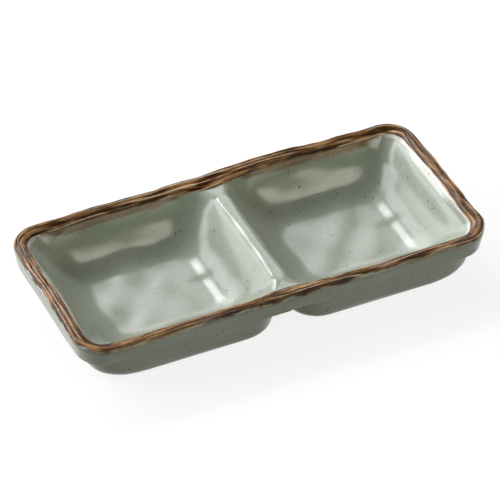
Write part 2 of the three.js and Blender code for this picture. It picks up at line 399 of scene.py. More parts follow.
def floor_lift(x, y, height):
    """Rolling of the floor. The walls that face left stay calm, with one step along their cove."""
    past = past_middle(x)
    low = smooth_step(*COVE_TOP, height)
    rolling = wave(x, y, *ROLL_ALONG) * wave(x, y, *ROLL_ACROSS) + wave(x, y, *FLOOR_RIPPLE)
    calmer = rolling * (1 - CALM_SHARE * smooth_step(*CALM_START, past))
    cove = low * smooth_step(*COVE_START, past) * smooth_step(*COVE_ENDS, np.abs(y))
    step = COVE_STEP * np.tanh((y - COVE_STEP_PLACE) / COVE_STEP_SPAN)
    hollow = low * smooth_step(*HOLLOW_HEIGHTS, height) * smooth_step(*HOLLOW_START, y)
    return lerp(calmer, step, cove) - HOLLOW_DEPTH * hollow


def rim_lift(x, y, inset):
    """Rise and fall of the rim and of the divider's crest, and the sag of the front."""
    waving = wave(x, y, *CREST_WAVE) * nearness(x, CREST_WAVE_SPAN)
    bead = CREST_BEAD * nearness(x, CREST_BEAD_SPAN)
    crest = (waving + bead) * smooth_step(*CREST_BEAD_INSETS, inset)
    sag = FRONT_SAG + sum(depth * nearness(x - place, span) for depth, place, span in FRONT_DIPS)
    held = CREST_HOLD * nearness(x, CREST_FLARE) * smooth_step(0, HOLD_INSET, inset)
    front = np.clip(-y / HALF_WIDTH, 0, 1) ** 2
    return wave(x, y, *RIM_WAVE) + wave(x, y, *RIM_RIPPLE) + crest - front * sag * (1 - held)


def hand_shaped(points):
    """The slight unevenness of a dish made by hand, the same for every piece."""
    x, y, z = np.moveaxis(points, -1, 0)
    inset = HALF_WIDTH - np.abs(y)
    height = z - FLOOR_LEVEL
    upper = smooth_step(SKIRT_LEVEL, LIP_LEVEL, z)
    inside = smooth_step(-UNDER_FLOOR, 0, height)
    moved = points.copy()
    moved[..., 0] += upper * (end_shift(x, y, inset) + crest_shift(x, y, inset))
    moved[..., 1] += upper * rim_shift(x, y, inset) + back_shift(x, y, z) + inside * wall_shift(x, y, height)
    moved[..., 2] += upper * rim_lift(x, y, inset) + inside * (1 - upper) * floor_lift(x, y, height)
    return moved


def grid_normals(points, ring=False):
    """Unit normals of a grid of points, from its rows and columns."""
    if ring:
        rows = np.roll(points, -1, axis=0) - np.roll(points, 1, axis=0)
    else:
        rows = np.gradient(points, axis=0)
    columns = np.gradient(points, axis=1)
    normals = np.cross(rows, columns)
    length = np.linalg.norm(normals, axis=-1, keepdims=True)
    return normals / np.maximum(length, TINY)


def add_object(name, data):
    holder = bpy.data.objects.new(name, data)
    bpy.context.scene.collection.objects.link(holder)
    return holder


def face_outward(mesh):
    """Turn the faces of a closed mesh outward."""
    build = bmesh.new()
    build.from_mesh(mesh)
    bmesh.ops.recalc_face_normals(build, faces=build.faces)
    build.to_mesh(mesh)
    build.free()


class Shell:
    """A piece that is welded from grids of points, with a normal at each corner of a face."""

    def __init__(self):
        self.points = []
        self.normals = []
        self.values = []
        self.faces = []

    def add(self, points, normals=None, ring=False, values=None):
        rows, columns = points.shape[:2]
        if normals is None:
            normals = grid_normals(points, ring)
        if values is None:
            values = np.zeros((rows, columns))
        first = sum(len(part) for part in self.points)
        self.points.append(points.reshape(-1, 3))
        self.normals.append(normals.reshape(-1, 3))
        self.values.append(values.reshape(-1))
        for i in range(rows if ring else rows - 1):
            here = first + i * columns
            after = first + ((i + 1) % rows) * columns
            for j in range(columns - 1):
                self.faces.append((here + j, after + j, after + j + 1, here + j + 1))

    def mesh(self, name, material, value_name):
        """One closed mesh. Points that meet become one, and each face corner keeps its normal."""
        points = np.concatenate(self.points)
        normals = np.concatenate(self.normals)
        values = np.concatenate(self.values)
        cells = np.round(points / WELD_DISTANCE)
        _, first, welded = np.unique(cells, axis=0, return_index=True, return_inverse=True)
        welded = welded.reshape(-1)
        faces = []
        sources = []
        for face in self.faces:
            corners = []
            for corner in face:
                if welded[corner] not in [welded[other] for other in corners]:
                    corners.append(corner)
            if len(corners) > 2:
                faces.append([int(welded[corner]) for corner in corners])
                sources.append({int(welded[corner]): corner for corner in corners})
        mesh = bpy.data.meshes.new(name)
        mesh.from_pydata((points[first] * MM).tolist(), [], faces)
        face_outward(mesh)
        mesh.shade_smooth()
        corner_normals = []
        for polygon, source in zip(mesh.polygons, sources):
            outward = np.array(polygon.normal)
            for vertex in polygon.vertices:
                normal = normals[source[vertex]]
                turned = normal if normal @ outward >= 0 else -normal
                corner_normals.append(turned if abs(normal @ outward) > EDGE_ON else outward)
        mesh.normals_split_custom_set(corner_normals)
        attribute = mesh.attributes.new(value_name, "FLOAT", "POINT")
        attribute.data.foreach_set("value", values[first].astype(np.float32))
        mesh.materials.append(material)
        return add_object(name, mesh)


class Plan:
    """A rectangle with rounded corners, seen from above: one radius at the left, one at the right."""

    def __init__(self, left, right, front, back, left_radius, right_radius):
        self.left, self.right = left, right
        self.front, self.back = front, back
        self.left_radius, self.right_radius = left_radius, right_radius

    def corners(self):
        """Places and radii of its corners, anticlockwise from the right one in front."""
        return [
            (self.right, self.front, self.right_radius),
            (self.right, self.back, self.right_radius),
            (self.left, self.back, self.left_radius),
            (self.left, self.front, self.left_radius),
        ]

    def reach(self, starts, rays):
        """How far each ray runs from a point inside to the edge."""
        ways = np.where(rays > 0, 1, -1)
        edges = np.where(ways > 0, [self.right, self.back], [self.left, self.front])
        radius = np.where(ways[:, 0] > 0, self.right_radius, self.left_radius)
        runs = np.where(np.abs(rays) > TINY, (edges - starts) / (rays + TINY * ways), np.inf)
        straight = runs.min(axis=1)
        centres = edges - ways * radius[:, None]
        to_centre = centres - starts
        along = np.sum(to_centre * rays, axis=1)
        aside = np.sum(to_centre ** 2, axis=1) - along ** 2
        on_arc = along + np.sqrt(np.maximum(radius ** 2 - aside, 0))
        past = (starts + rays * on_arc[:, None] - centres) * ways
        rounded = (aside < radius ** 2) & (past >= 0).all(axis=1)
        return np.where(rounded, on_arc, straight)


def well_opening():
    """Edge of the left well's opening. It ends on the divider's middle line, with flared corners."""
    left = BAND_WIDTH - HALF_LENGTH
    back = HALF_WIDTH - BAND_WIDTH
    return Plan(left, 0, -back, back, CORNER_RADIUS - BAND_WIDTH, FLARE_RADIUS)


def well_outside(inset):
    """Outside of the left well below the skirt."""
    left = well_low[0] + inset
    right = well_high[0] - inset
    back = well_high[1] - inset
    return Plan(left, right, -back, back, WELL_CORNER_RADIUS, WELL_CORNER_RADIUS)


def dish_outside(inset):
    """Outside of the whole dish."""
    right = HALF_LENGTH - inset
    back = HALF_WIDTH - inset
    radius = CORNER_RADIUS - inset
    return Plan(-right, right, -back, back, radius, radius)


def steps_between(knots, counts):
    """Values from knot to knot, each stretch in its own number of steps, without the last knot."""
    stretches = zip(knots, knots[1:], counts)
    return np.concatenate([np.linspace(a, b, count, endpoint=False) for a, b, count in stretches])


class Ribs:
    """Lines from the floor of the left well straight out to its edge, anticlockwise.

    The first ones belong to the divider, from its front end to its back end.
    """

    def __init__(self):
        opening = well_opening()
        left = opening.left + END_WALL_RUN + FLOOR_CORNER_RADIUS
        right = -DIVIDER_RUN - FLOOR_CORNER_RADIUS
        back = opening.back - SIDE_WALL_RUN - FLOOR_CORNER_RADIUS
        centres = [corner[:2] for corner in Plan(left, right, -back, back, 0, 0).corners()]
        starts = []
        angles = []
        for i, (centre, (x, y, radius)) in enumerate(zip(centres, opening.corners())):
            begin = QUARTER_TURN * (i - 1)
            in_x = (x - math.copysign(radius, x - centre[0]), y)
            in_y = (x, y - math.copysign(radius, y - centre[1]))
            bends = (in_x, in_y) if i % 2 == 0 else (in_y, in_x)
            aims = [math.atan2(bend[1] - centre[1], bend[0] - centre[0]) for bend in bends]
            aims = [begin + (aim - begin) % (2 * math.pi) for aim in aims]
            fan = steps_between([begin, *aims, begin + QUARTER_TURN], FAN_STEPS)
            angles.append(fan)
            starts.append(np.tile(centre, (len(fan), 1)))
            following = centres[(i + 1) % len(centres)]
            share = np.linspace(0, 1, SIDE_STEPS, endpoint=False)[:, None]
            starts.append(lerp(np.array(centre), np.array(following), share))
            angles.append(np.full(SIDE_STEPS, begin + QUARTER_TURN))
        # The divider's ribs start where the front fan meets the flared corner
        turn = -FAN_STEPS[0]
        self.starts = np.roll(np.concatenate(starts), turn, axis=0)
        angles = np.roll(np.concatenate(angles), turn)
        self.rays = np.stack([np.cos(angles), np.sin(angles)], axis=1)
        self.rays[np.abs(self.rays) < TINY] = 0
        self.divider = FAN_STEPS[1] + FAN_STEPS[2] + SIDE_STEPS + FAN_STEPS[0] + FAN_STEPS[1] + 1
        self.opening_reach = opening.reach(self.starts, self.rays)
        outer = np.abs(self.on(dish_outside(0), RIM_LEVEL)[:, :1])
        # The skirt's ledge: 1 round the ends of the dish, and 0 along its sides
        self.ledge = smooth_step(HALF_LENGTH - LEDGE_FADE[0], HALF_LENGTH - LEDGE_FADE[1], outer)

    def on(self, plan, level):
        """Points where the ribs, drawn out, meet a plan at a level."""
        flat = self.starts + self.rays * plan.reach(self.starts, self.rays)[:, None]
        return np.concatenate([flat, np.full((len(flat), 1), level)], axis=1)


def wall_curve(run, drop, radius, slope, flat, cove):
    """Distances in and down from the edge of a well to its floor.

    A flat lip with a slope rolls over into a straight wall, and a cove ends on the floor.
    """
    start_in = radius * math.sin(slope) - flat * math.cos(slope)
    start_down = radius * (1 - math.cos(slope)) - flat * math.sin(slope)
    run = run + start_in
    drop = drop + start_down
    # The largest cove would leave no straight wall
    largest = (run ** 2 + drop ** 2) / (2 * drop)
    cove = min(cove, COVE_LIMIT * largest - radius)
    both = radius + cove
    steepest = math.asin(both / math.hypot(run, both - drop)) - math.atan2(both - drop, run)
    roll = np.linspace(slope, steepest, CURVE_STEPS)
    bend = np.linspace(steepest, 0, 2 * CURVE_STEPS + 1)
    inward = np.concatenate([[start_in], radius * np.sin(roll), run - cove * np.sin(bend)])
    down = np.concatenate([[start_down], radius * (1 - np.cos(roll)), drop - cove * (1 - np.cos(bend))])
    return np.array([inward - start_in, down - start_down])


def bent_curve(run, drop, slope):
    """As wall_curve, for a long side: the wall below the roll bends slowly, and its cove is tighter."""
    steep, flatter = SIDE_WALL_SLOPES
    bends = [
        (SIDE_LIP_RADIUS, slope, steep, CURVE_STEPS + 1),
        (SIDE_WALL_RADIUS, steep, flatter, CURVE_STEPS),
        (SIDE_COVE_RADIUS, flatter, 0, CURVE_STEPS),
    ]
    inward, down = [0.0], [0.0]
    for radius, start, end, steps in bends:
        turn = (end - start) / steps
        for middle in start + turn * (np.arange(steps) + 0.5):
            inward.append(inward[-1] + radius * abs(turn) * math.cos(middle))
            down.append(down[-1] + radius * abs(turn) * math.sin(middle))
    return np.array([np.array(inward) * run / inward[-1], np.array(down) * drop / down[-1]])


def spaced(inward, down, low, high, steps):
    """Points of a wall curve at equal distances, between two depths."""
    length = np.concatenate([[0], np.cumsum(np.hypot(np.diff(inward), np.diff(down)))])
    ends = np.interp([low, high], down, length)
    places = np.linspace(ends[0], ends[1], steps + 1)
    return np.interp(places, length, inward), np.interp(places, length, down)


def well_surface(ribs):
    """Inside of the left well: one row for each rib, from the edge to the middle of the floor."""
    rows = []
    edges = ribs.starts + ribs.rays * ribs.opening_reach[:, None]
    middle = ribs.starts.mean(axis=0)
    for edge, ray, reach in zip(edges, ribs.rays, ribs.opening_reach):
        end = ray[0] ** 2 if ray[0] < 0 else 0
        on_crest = nearness(edge[0], CREST_FLARE)
        rise = smooth_step(HALF_WIDTH - CREST_RISE, HALF_WIDTH - BAND_WIDTH, abs(edge[1]))
        crest_drop = lerp(CREST_DROP, CREST_END_DROP, rise)
        level = RIM_LEVEL - lerp(lerp(LIP_DROP, END_LIP_DROP, end), crest_drop, on_crest)
        radius = lerp(lerp(SIDE_LIP_RADIUS, END_LIP_RADIUS, end), CREST_RADIUS, on_crest)
        power = CORNER_SLOPE_POWERS[int(edge[1] > 0)]
        slope = lerp(LIP_SLOPE, END_LIP_SLOPE, end ** power) * (1 - on_crest)
        run = reach - FLOOR_CORNER_RADIUS
        drop = level - FLOOR_LEVEL
        cove = lerp(CORNER_COVE_RADIUS, COVE_RADIUS, ray[0] ** CORNER_COVE_POWER)
        flat = lerp(END_LIP_FLAT * end, CREST_FLAT, on_crest)
        straight = wall_curve(run, drop, radius, slope, flat, cove)
        curve = lerp(straight, bent_curve(run, drop, slope), ray[1] ** 2 * (1 - on_crest))
        seam = level - SKIRT_LEVEL
        lip = spaced(*curve, 0, seam, LIP_STEPS)
        below = spaced(*curve, seam, drop, COVE_STEPS)
        inward = np.concatenate([lip[0], below[0][1:]])
        down = np.concatenate([lip[1], below[1][1:]])
        wall = np.stack([edge[0] - ray[0] * inward, edge[1] - ray[1] * inward, level - down], axis=1)
        share = np.linspace(0, 1, FLOOR_STEPS + 1)[1:, None]
        floor = lerp(wall[-1], np.array([*middle, FLOOR_LEVEL]), share)
        rows.append(np.concatenate([wall, floor]))
    return np.array(rows)


def mirrored(points):
    return points * np.array([-1, 1, 1])


class Bowls:
    """Surfaces that the glazed pieces share, for both wells."""

    def __init__(self):
        self.ribs = Ribs()
        inside = well_surface(self.ribs)
        self.inside = {}
        self.normals = {}
        for side, points in (("left", inside), ("right", mirrored(inside))):
            self.inside[side] = hand_shaped(points)
            normals = grid_normals(self.inside[side], ring=True)
            normals[normals[..., 2] < 0] *= -1
            normals[:, -1] = normals[:, -2].mean(axis=0)
            self.normals[side] = normals
        crest = slice(0, self.ribs.divider)
        shared = self.normals["left"][crest, 0] + self.normals["right"][crest, 0]
        shared /= np.linalg.norm(shared, axis=1, keepdims=True)
        for side in ("left", "right"):
            self.normals[side][crest, 0] = shared


def stack(rings):
    return hand_shaped(np.stack(rings, axis=1))


def well_profile(radius):
    """Insets and levels of a well's outer wall, from the skirt down to the flat base."""
    steepest = QUARTER_TURN - WELL_DRAFT
    foot = BASE_LEVEL + radius * (1 - math.cos(steepest))
    run = (SKIRT_LEVEL - foot) / math.tan(steepest)
    profile = [(0, SKIRT_LEVEL), (run / 2, (SKIRT_LEVEL + foot) / 2)]
    for angle in np.linspace(steepest, 0, BASE_STEPS + 1):
        inset = run + radius * (math.sin(steepest) - math.sin(angle))
        profile.append((inset, BASE_LEVEL + radius * (1 - math.cos(angle))))
    return profile


def make_well(side, bowls, material):
    """A bowl below the rim: its inside, a joint face under the rim, its outside and its base."""
    shell = Shell()
    inside = bowls.inside[side][:, LIP_STEPS:]
    shell.add(inside, bowls.normals[side][:, LIP_STEPS:], ring=True)
    ribs = bowls.ribs
    step = HALF_WIDTH - SKIRT_DRAFT - well_high[1]
    rings = []
    for along, at_end in zip(well_profile(BASE_RADIUS), well_profile(END_BASE_RADIUS)):
        flush = ribs.on(well_outside(along[0] - step), along[1])
        stepped = ribs.on(well_outside(at_end[0]), at_end[1])
        ring = lerp(flush, stepped, ribs.ledge)
        rings.append(ring if side == "left" else mirrored(ring))
    outside = stack(rings)
    shell.add(np.stack([inside[:, 0], outside[:, 0]], axis=1), ring=True)
    shell.add(outside, ring=True)
    base = outside[:, -1]
    middle = np.broadcast_to(base.mean(axis=0), base.shape)
    shell.add(np.stack([base, (base + middle) / 2, middle], axis=1), ring=True)
    return shell.mesh(f"{side}_well_glaze", material, "wash_and_highlight")


def skirt_profile():
    """Flush insets, rounded insets and levels of the rim's outer face, from its lower edge up."""
    profile = []
    for angle in np.linspace(-QUARTER_TURN, 0, EDGE_STEPS):
        level = SKIRT_LEVEL + SKIRT_EDGE_RADIUS * (1 + math.sin(angle))
        flush = SKIRT_LEAN * (RIM_LEVEL - level)
        profile.append((flush, flush + SKIRT_EDGE_RADIUS * (1 - math.cos(angle)), level))
    low = SKIRT_LEVEL + SKIRT_EDGE_RADIUS
    for level in np.linspace(low, RIM_LEVEL - BAND_OUTER_DROP, SKIRT_STEPS)[1:]:
        inset = SKIRT_LEAN * (RIM_LEVEL - level)
        profile.append((inset, inset, level))
    return profile


def end_sheet(bowls, rib):
    """The sheet between the frame and one end of the divider, from the left well to the right one."""
    left = bowls.inside["left"][rib, : LIP_STEPS + 1]
    right = bowls.inside["right"][rib, : LIP_STEPS + 1]
    share = np.linspace(0, 1, STRIP_STEPS + 1)[:, None, None]
    return lerp(left[None], right[None], share)


def dish_ring(half, other):
    """A ring round the whole dish: left well from the back, front end, right well, back end."""
    share = np.linspace(0, 1, STRIP_STEPS + 1)[1:-1, None]
    front = lerp(half[-1], other[-1], share)
    back = lerp(other[0], half[0], share)
    return np.concatenate([half, front, other[::-1], back])


def make_frame(bowls, material):
    """The overhanging rim: inner walls above the wells, the skirt, its underside and the band's seat."""
    ribs = bowls.ribs
    shell = Shell()
    last = ribs.divider - 1
    around = list(range(last, len(ribs.starts))) + [0]
    for side in ("left", "right"):
        wall = bowls.inside[side][around, : LIP_STEPS + 1]
        distance = np.linalg.norm(wall - wall[:, :1], axis=-1)
        end = ribs.rays[around, :1] ** 2
        # Reach of the brown slip below the band; at the ends this mask carries a painted highlight along the
        # lip instead
        wash_and_highlight = 1 - np.clip(distance / lerp(WASH_WIDTH, END_HIGHLIGHT_WIDTH, end), 0, 1)
        wash_and_highlight = wash_and_highlight * (1 - nearness(wall[..., 0], WASH_GAP))
        shell.add(wall, bowls.normals[side][around, : LIP_STEPS + 1], values=wash_and_highlight)
    shell.add(end_sheet(bowls, last))
    shell.add(end_sheet(bowls, 0))
    rings = []
    for flush, rounded, level in skirt_profile():
        plain = ribs.on(dish_outside(flush), level)
        half = lerp(plain, ribs.on(dish_outside(rounded), level), ribs.ledge)[around]
        rings.append(dish_ring(half, mirrored(half)))
    skirt = stack(rings)
    inner = []
    for column in (LIP_STEPS, 0):
        halves = [bowls.inside[side][around, column] for side in ("left", "right")]
        inner.append(dish_ring(*halves))
    seat = inner[1] - np.array([0, 0, BAND_SEAT_DROP - LIP_DROP])
    shell.add(skirt, ring=True)
    shell.add(np.stack([inner[0], skirt[:, 0]], axis=1), ring=True)
    shell.add(np.stack([skirt[:, -1], seat, inner[1]], axis=1), ring=True)
    return shell.mesh("rim_frame_glaze", material, "wash_and_highlight")


def make_divider(bowls, material):
    """The rounded ridge between the wells, with its flared ends and flat underside."""
    shell = Shell()
    ridge = slice(0, bowls.ribs.divider)
    columns = slice(0, LIP_STEPS + 1)
    slopes = {}
    for side in ("left", "right"):
        slopes[side] = bowls.inside[side][ridge, columns]
        shell.add(slopes[side], bowls.normals[side][ridge, columns])
    share = np.linspace(0, 1, STRIP_STEPS + 1)[None, :, None]
    for column in (0, LIP_STEPS):
        strip = lerp(slopes["left"][:, column][:, None], slopes["right"][:, column][:, None], share)
        normals = np.broadcast_to(np.array([0.0, 0.0, 1.0]), strip.shape)
        shell.add(strip, normals)
    shell.add(end_sheet(bowls, bowls.ribs.divider - 1))
    shell.add(end_sheet(bowls, 0))
    return shell.mesh("divider_glaze", material, "wash_and_highlight")


def poly_curve(name, points):
    """A closed curve object through points in millimetres, used only to make other pieces."""
    curve = bpy.data.curves.new(name, "CURVE")
    curve.dimensions = "3D"
    spline = curve.splines.new("POLY")
    spline.points.add(len(points) - 1)
    for place, point in zip(spline.points, points):
        place.co = (*(value * MM for value in point), 1)
    spline.use_cyclic_u = True
    return add_object(name, curve)


def rounded_path(name, plan, level):
    """A closed curve round a plan, anticlockwise from the middle of its right side."""
    points = []
    middle = (plan.left + plan.right) / 2
    front_right, *others = plan.corners()
    for quarter, (x, y, radius) in enumerate([*others, front_right]):
        centre_x = x - math.copysign(radius, x - middle)
        centre_y = y - math.copysign(radius, y)
        for angle in np.linspace(quarter * QUARTER_TURN, (quarter + 1) * QUARTER_TURN, ARC_POINTS):
            points.append((centre_x + radius * math.cos(angle), centre_y + radius * math.sin(angle), level))
    return poly_curve(name, points)


def bezier(start, first_pull, last_pull, end, steps):
    """Points on a curve between two points, without the end."""
    share = np.linspace(0, 1, steps, endpoint=False)[:, None]
    points = [np.array(point, float) for point in (start, first_pull, last_pull, end)]
    while len(points) > 1:
        points = [lerp(a, b, share) for a, b in zip(points, points[1:])]
    return points[0]


def band_section():
    """Cross-section of the band: inset from the outer edge, and level below the crest."""
    low = (SKIRT_LEAN * BAND_OUTER_DROP, -BAND_OUTER_DROP)
    crest = (BAND_CREST, 0)
    lip = (BAND_WIDTH, -LIP_DROP)
    before_lip = (lip[0] - BAND_LIP_PULL, lip[1] + BAND_LIP_PULL * math.tan(LIP_SLOPE))
    outer_pull, inner_pull = BAND_CREST_PULLS
    outer_steps, inner_steps = BAND_CURVE_STEPS
    outer = bezier(low, BAND_SHOULDER, (outer_pull, 0), crest, outer_steps)
    inner = bezier(crest, (inner_pull, 0), before_lip, lip, inner_steps)
    under = [lip, (BAND_WIDTH, -BAND_SEAT_DROP)]
    return [(inset, 0, level) for inset, level in [*outer, *inner, *under]]


class Tree:
    """A node tree under construction, with short calls for its nodes and links."""

    def __init__(self, tree):
        self.tree = tree

    def node(self, kind, inputs=None, **settings):
        node = self.tree.nodes.new(kind)
        for key, value in settings.items():
            setattr(node, key, value)
        self.fill(node, inputs or {})
        return node

    def fill(self, node, inputs):
        for key, value in inputs.items():
            self.feed(node.inputs[key], value)

    def feed(self, socket, value):
        """Link a node's output to a socket, or set the socket to a plain value."""
        if isinstance(value, bpy.types.NodeSocket):
            self.tree.links.new(value, socket)
        elif isinstance(value, bpy.types.Node):
            self.tree.links.new(value.outputs[0], socket)
        else:
            socket.default_value = value

    def math(self, operation, *values, clamp=False):
        inputs = dict(enumerate(values))
        return self.node("ShaderNodeMath", inputs, operation=operation, use_clamp=clamp).outputs[0]

    def vector(self, operation, *values):
        return self.node("ShaderNodeVectorMath", dict(enumerate(values)), operation=operation).outputs[0]

    def parts(self, vector):
        """The x, y and z of a vector."""
        return self.node("ShaderNodeSeparateXYZ", {0: vector}).outputs

    def fade(self, value, low, high, start=0.0, end=1.0):
        """A value that runs smoothly from start to end while another runs from low to high."""
        inputs = {"Value": value, "From Min": low, "From Max": high, "To Min": start, "To Max": end}
        return self.node("ShaderNodeMapRange", inputs, interpolation_type="SMOOTHSTEP").outputs[0]

    def noise(self, vector, scale, detail, output=0):
        inputs = {"Vector": vector, "Scale": scale, "Detail": detail}
        return self.node("ShaderNodeTexNoise", inputs).outputs[output]

    def bump(self, height, strength, distance):
        return self.node("ShaderNodeBump", {"Height": height, "Strength": strength, "Distance": distance})

    def colour(self, share, first, second):
        return self.node("ShaderNodeMix", {0: share, 6: first, 7: second}, data_type="RGBA").outputs[2]

    def attribute(self, name):
        return self.node("ShaderNodeAttribute", attribute_name=name).outputs["Fac"]


def new_group(name, kind, inputs, outputs):
    """A node group with named inputs and outputs."""
    tree = bpy.data.node_groups.new(name, kind)
    for label, value_kind, value in inputs:
        socket = tree.interface.new_socket(label, in_out="INPUT", socket_type="NodeSocket" + value_kind)
        if value is not None:
            socket.default_value = value
    for label, value_kind in outputs:
        tree.interface.new_socket(label, in_out="OUTPUT", socket_type="NodeSocket" + value_kind)
    t = Tree(tree)
    return t, t.node("NodeGroupInput").outputs, t.node("NodeGroupOutput").inputs


def strand_pattern(t, given, position, inset):
    """Ridges and grooves that wander, part and meet along the path, from 0 to 1."""
    along = t.parts(t.vector("DIVIDE", position, given["Strand length"]))
    width = t.math("DIVIDE", inset, given["Strand width"])

    def stretched(fine_along, fine_across, offset):
        """Noise that changes slowly along the path and fast across it."""
        place = {axis: t.math("MULTIPLY_ADD", along[axis], fine_along, offset) for axis in (0, 1)}
        place[2] = t.math("MULTIPLY", width, fine_across)
        return t.noise(t.node("ShaderNodeCombineXYZ", place), scale=1.0, detail=1.0)

    wandering = t.math("MULTIPLY_ADD", stretched(*WANDER), WANDER_REACH, width)
    across_strand = t.math("PINGPONG", wandering, 0.5)
    ridge = t.fade(across_strand, *RIDGE_FADE)
    groove = t.fade(across_strand, *GROOVE_FADE)
    life = t.fade(stretched(*RIDGE_LIFE), *RIDGE_LIFE_FADE)
    patch = t.fade(stretched(*STRAND_PATCHES), *STRAND_PATCH_FADE)
    grain = t.math("MULTIPLY_ADD", stretched(*STRAND_GRAIN), *STRAND_GRAIN_RISE)
    raised = t.math("MULTIPLY_ADD", ridge, life, t.math("ADD", patch, grain))
    return t.math("MULTIPLY_ADD", groove, GROOVE_DEPTH, raised, clamp=True)


def strand_lift(t, given, strand, across):
    """How far the strands stand out from the section, between their start and their end."""
    start_fade, end_fade = STRAND_FADES
    start, end = given["Strand start"], given["Strand end"]
    starting = t.fade(across, start, t.math("ADD", start, start_fade))
    ending = t.fade(across, t.math("SUBTRACT", end, end_fade), end, 1.0, 0.0)
    height = t.math("MULTIPLY", t.math("MULTIPLY", starting, ending), given["Strand height"])
    return t.math("MULTIPLY", t.math("SUBTRACT", strand, 0.5), height)


def flatter_level(t, given, position, inward, inset, level):
    """Level of a section's point, flatter past the crest at the path's end sides and its middle."""
    facing = t.parts(inward)[0]
    end = t.math("MULTIPLY", facing, facing)
    at_ends = t.math("MULTIPLY_ADD", end, t.math("SUBTRACT", given["End flatness"], 1.0), 1.0)
    aside = t.math("DIVIDE", t.parts(position)[0], given["Middle span"])
    middle = t.math("EXPONENT", t.math("MULTIPLY", t.math("MULTIPLY", aside, aside), -1.0))
    change = t.math("SUBTRACT", given["Middle flatness"], at_ends)
    flatness = t.math("MULTIPLY_ADD", middle, change, at_ends)
    past_crest = t.math("GREATER_THAN", inset, BAND_CREST * MM)
    scale = t.math("MULTIPLY_ADD", past_crest, t.math("SUBTRACT", flatness, 1.0), 1.0)
    return t.math("MULTIPLY", level, scale)


def sweep_tree():
    """Geometry nodes that draw a section round a path, with wandering strands along it."""
    t, given, results = new_group(
        "strand_sweep",
        "GeometryNodeTree",
        [
            ("Path", "Object", None),
            ("Section", "Object", None),
            ("Stations", "Int", 600),
            ("Section steps", "Int", 96),
            ("Strand width", "Float", 0.0014),
            ("Strand height", "Float", 0.0),
            ("Strand length", "Float", 0.02),
            ("Strand start", "Float", 0.0),
            ("Strand end", "Float", 1.0),
            ("End flatness", "Float", 1.0),
            ("Middle flatness", "Float", 1.0),
            ("Middle span", "Float", 0.01),
            ("Finish", "Material", None),
        ],
        [("Geometry", "Geometry")],
    )
    stations = t.math("ADD", given["Stations"], 1.0)
    steps = t.math("ADD", given["Section steps"], 1.0)
    grid_size = {"Size X": 1.0, "Size Y": 1.0, "Vertices X": stations, "Vertices Y": steps}
    grid = t.node("GeometryNodeMeshGrid", grid_size)
    along, across = t.parts(grid.outputs["UV Map"])[:2]
    samples = []
    for name, factor in (("Path", along), ("Section", across)):
        guide = t.node("GeometryNodeObjectInfo", {"Object": given[name]})
        inputs = {"Curves": guide.outputs["Geometry"], "Factor": factor}
        sample = t.node("GeometryNodeSampleCurve", inputs, mode="FACTOR", use_all_curves=True)
        samples.append(sample.outputs)
    path, section = samples
    position = path["Position"]
    way = t.parts(path["Tangent"])
    inward = t.node("ShaderNodeCombineXYZ", {0: t.math("MULTIPLY", way[1], -1.0), 1: way[0]})
    inset, _, level = t.parts(section["Position"])
    turn = t.parts(section["Tangent"])
    strand = strand_pattern(t, given, position, inset)
    lift = strand_lift(t, given, strand, across)
    flatter = flatter_level(t, given, position, inward, inset, level)
    moved_in = t.math("MULTIPLY_ADD", turn[2], t.math("MULTIPLY", lift, -1.0), inset)
    moved_up = t.math("MULTIPLY_ADD", turn[0], lift, flatter)
    offset = t.node("ShaderNodeVectorMath", {0: inward, "Scale": moved_in}, operation="SCALE")
    height = t.node("ShaderNodeCombineXYZ", {2: moved_up})
    moved = t.vector("ADD", t.vector("ADD", position, offset), height)
    shape = t.node("GeometryNodeSetPosition", {"Geometry": grid.outputs["Mesh"], "Position": moved})
    for name, value in (("strand", strand), ("across", across)):
        inputs = {"Geometry": shape, "Name": name, "Value": value}
        shape = t.node("GeometryNodeStoreNamedAttribute", inputs, data_type="FLOAT", domain="POINT")
    merged = t.node("GeometryNodeMergeByDistance", {"Geometry": shape, "Distance": WELD_DISTANCE * MM})
    smooth = t.node("GeometryNodeSetShadeSmooth", {"Geometry": merged})
    solid = t.node("GeometryNodeRealizeInstances", {"Geometry": smooth})
    finish = t.node("GeometryNodeSetMaterial", {"Geometry": solid, "Material": given["Finish"]})
    t.feed(results["Geometry"], finish)
    return t.tree


def swept_piece(name, sweep, path, section, values):
    """A plain mesh made by the sweep, with its place in its points. Its guides are removed."""
    holder = add_object(name, bpy.data.meshes.new(name))
    modifier = holder.modifiers.new("sweep", "NODES")
    modifier.node_group = sweep
    values = {"Path": path, "Section": section, **values}
    for item in sweep.interface.items_tree:
        if item.in_out == "INPUT" and item.name in values:
            modifier[item.identifier] = values[item.name]
    bpy.context.view_layer.update()
    made = holder.evaluated_get(bpy.context.evaluated_depsgraph_get())
    mesh = bpy.data.meshes.new_from_object(made)
    holder.modifiers.remove(modifier)
    holder.data = mesh
    mesh.name = name
    points = np.empty(len(mesh.vertices) * 3, np.float32)
    mesh.vertices.foreach_get("co", points)
    moved = hand_shaped(points.reshape(-1, 3).astype(float) / MM) * MM
    mesh.vertices.foreach_set("co", moved.astype(np.float32).ravel())
    face_outward(mesh)
    mesh.set_sharp_from_angle(angle=SHARP_ANGLE)
    mesh.update()
    for guide in (path, section):
        bpy.data.objects.remove(guide)
    return holder


def make_band(sweep, material):
    """The brown band round the top of the rim."""
    path = rounded_path("band_path", dish_outside(0), RIM_LEVEL)
    section = poly_curve("band_section", band_section())
    values = {
        **BAND_STEPS,
        "Strand width": BAND_WIDTH / BAND_STRANDS * MM,
        "Strand height": STRAND_HEIGHT * MM,
        "Strand length": STRAND_LENGTH * MM,
        "Strand start": STRAND_PLACE[0],
        "Strand end": STRAND_PLACE[1],
        "End flatness": END_LIP_DROP / LIP_DROP,
        "Middle flatness": CREST_END_DROP / LIP_DROP,
        "Middle span": CREST_FLARE * MM,
        "Finish": material,
    }
    return swept_piece("rim_band_glaze", sweep, path, section, values)


